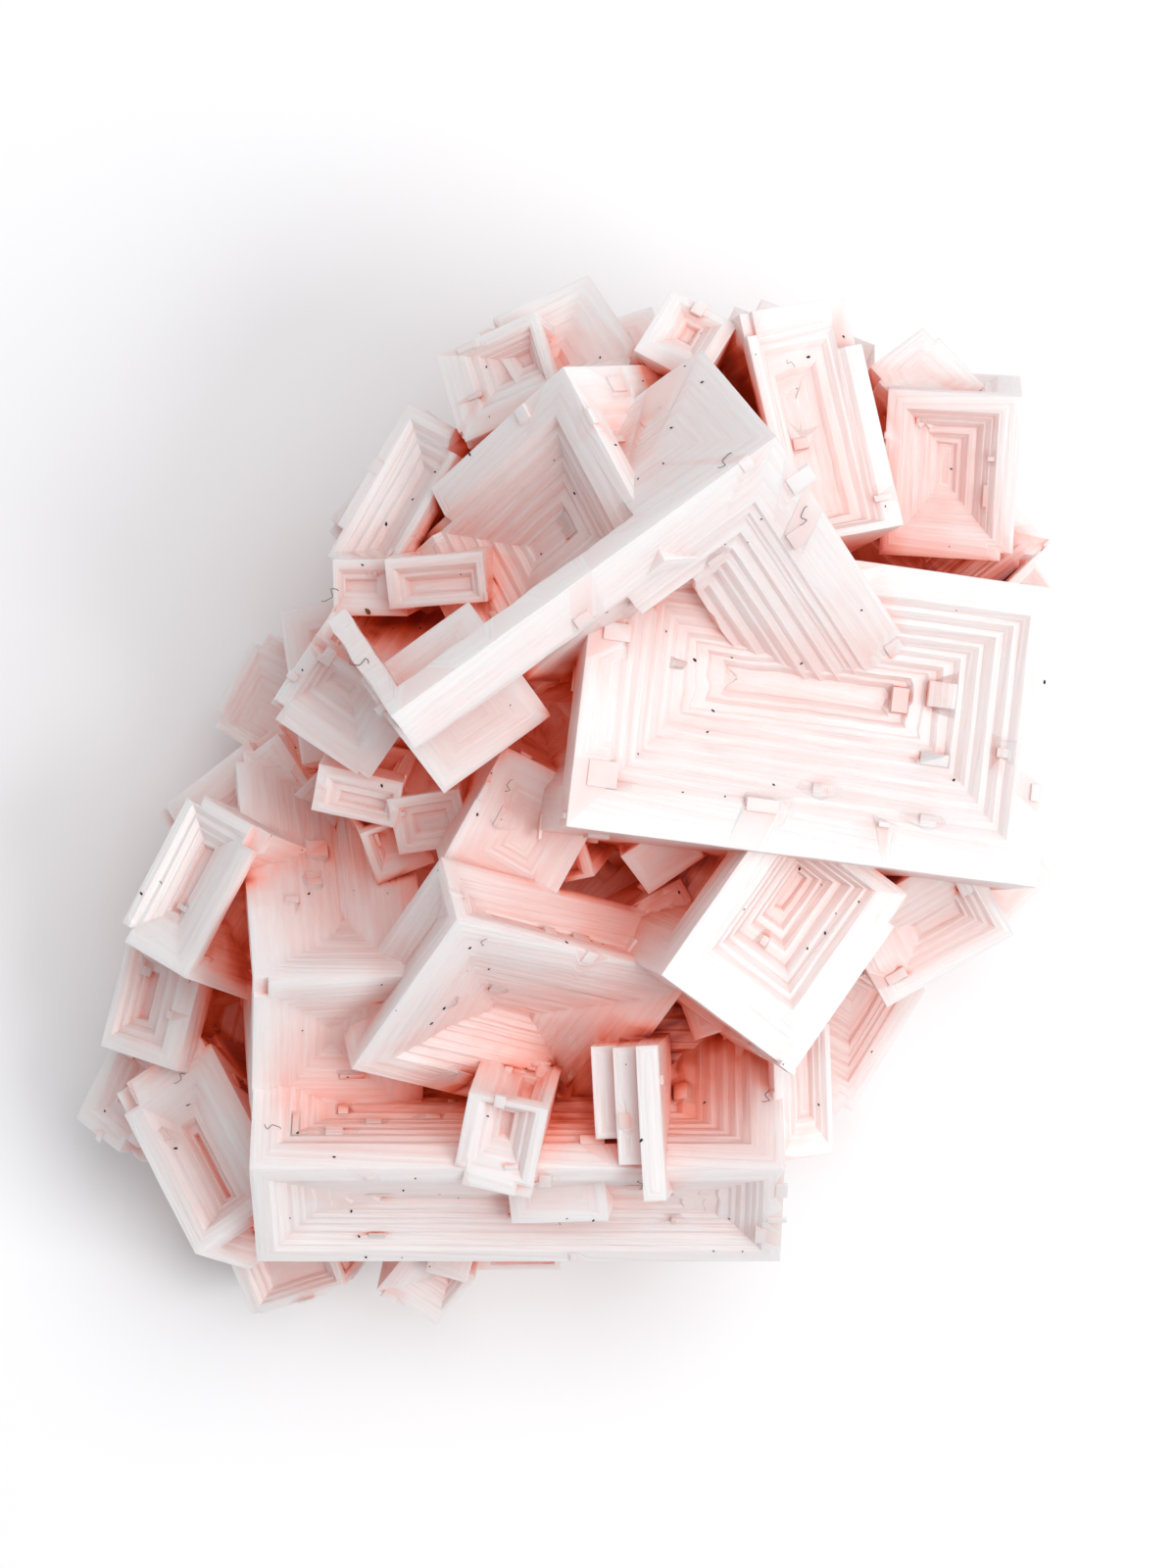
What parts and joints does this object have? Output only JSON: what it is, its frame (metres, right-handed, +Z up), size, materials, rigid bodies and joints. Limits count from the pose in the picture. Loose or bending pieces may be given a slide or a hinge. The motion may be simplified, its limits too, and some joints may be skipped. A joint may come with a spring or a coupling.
{
  "type": "halite crystal cluster",
  "caption": "Cluster of intergrown pink hopper crystals of rock salt, stepped square pits in every face, cut flat underneath to stand as a display specimen.",
  "frame": {"origin": "middle of the footprint, on the flat cut face of the base", "axes": "+Z up, away from the cut base; +Y is the longest extent, from the long front bar towards the roof crystal's back; +X to the right seen from the front"},
  "size_m": [0.084, 0.0866, 0.05],
  "materials": {
    "halite": "satin, milky translucent"
  },
  "bodies": {
    "root": {"halite_cluster": "halite"}
  },
  "joints": []
}
